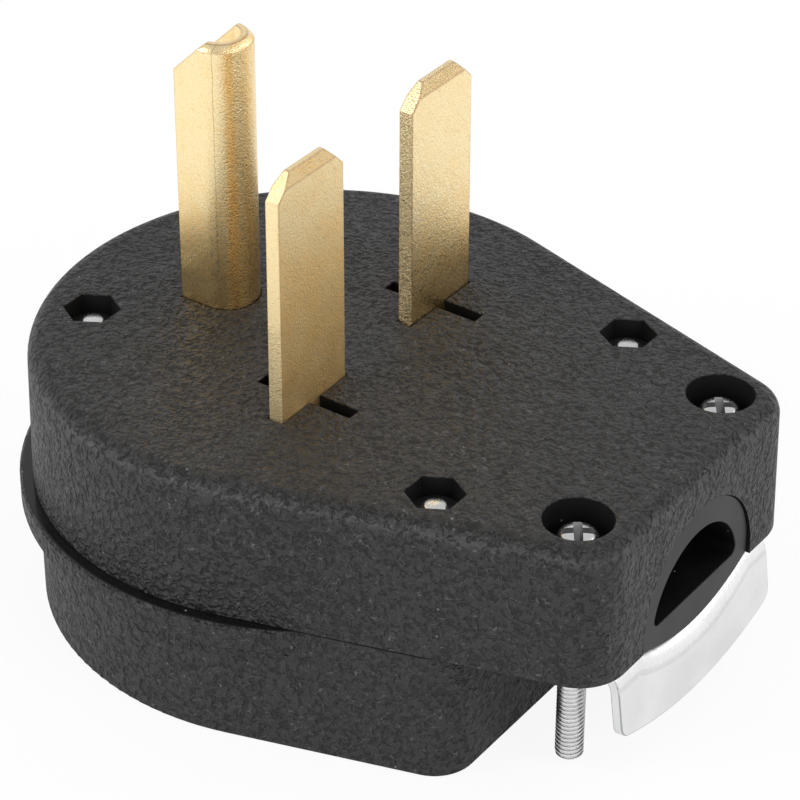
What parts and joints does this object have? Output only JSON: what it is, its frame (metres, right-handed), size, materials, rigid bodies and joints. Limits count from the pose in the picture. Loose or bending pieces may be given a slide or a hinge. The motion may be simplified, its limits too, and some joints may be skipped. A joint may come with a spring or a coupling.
{
  "type": "industrial plug",
  "caption": "Right-angle heavy-duty power plug: flat brass blades and a longer U-shaped earth pin on a black two-part housing with a screw-down cord clamp.",
  "frame": {"origin": "on the rest plane under the rear cover, below the middle of the line between the two blades", "axes": "+X towards the cord end, +Y to the right as seen from the cord end, +Z out of the contact face along the blades"},
  "size_m": [0.0954, 0.0766, 0.0736],
  "materials": {
    "housing_black": "fine leather grain",
    "collar_grey": "smooth satin",
    "contact_brass": "brushed, unlacquered",
    "zinc_plate": "zinc plated",
    "nut_steel": "blackened"
  },
  "bodies": {
    "plug_body": {"front_housing": "housing_black", "rear_cover": "housing_black", "cord_collar": "collar_grey", "line_blade_left": "contact_brass", "line_blade_right": "contact_brass", "ground_pin": "contact_brass", "pressure_plate_left": "zinc_plate", "terminal_screw_left": "contact_brass", "pressure_plate_right": "zinc_plate", "terminal_screw_right": "contact_brass", "pressure_plate_ground": "zinc_plate", "terminal_screw_ground": "contact_brass", "cover_screw_1": "zinc_plate", "cover_nut_1": "nut_steel", "cover_screw_2": "zinc_plate", "cover_nut_2": "nut_steel", "cover_screw_3": "zinc_plate", "cover_nut_3": "nut_steel", "cover_screw_4": "zinc_plate", "cover_nut_4": "nut_steel"},
    "saddle": {"cord_saddle": "zinc_plate"},
    "left_clamp_screw": {"clamp_screw_left": "zinc_plate"},
    "right_clamp_screw": {"clamp_screw_right": "zinc_plate"}
  },
  "joints": [
    {"name": "saddle_drop", "type": "slide", "parent": "plug_body", "child": "saddle", "axis": [0, 0, -1], "range_m": [0, 0.012]},
    {"name": "left_clamp_turn", "type": "hinge", "parent": "plug_body", "child": "left_clamp_screw", "pos_m": [0.0404, -0.016, 0.02], "axis": [0, 0, 1], "range_deg": [0, 7200]},
    {"name": "right_clamp_turn", "type": "hinge", "parent": "plug_body", "child": "right_clamp_screw", "pos_m": [0.0404, 0.016, 0.02], "axis": [0, 0, 1], "range_deg": [0, 7200]}
  ],
  "couplings": [
    {"joint": "left_clamp_turn", "follows": "saddle_drop", "rad_per_m": 10472},
    {"joint": "right_clamp_turn", "follows": "saddle_drop", "rad_per_m": 10472}
  ]
}
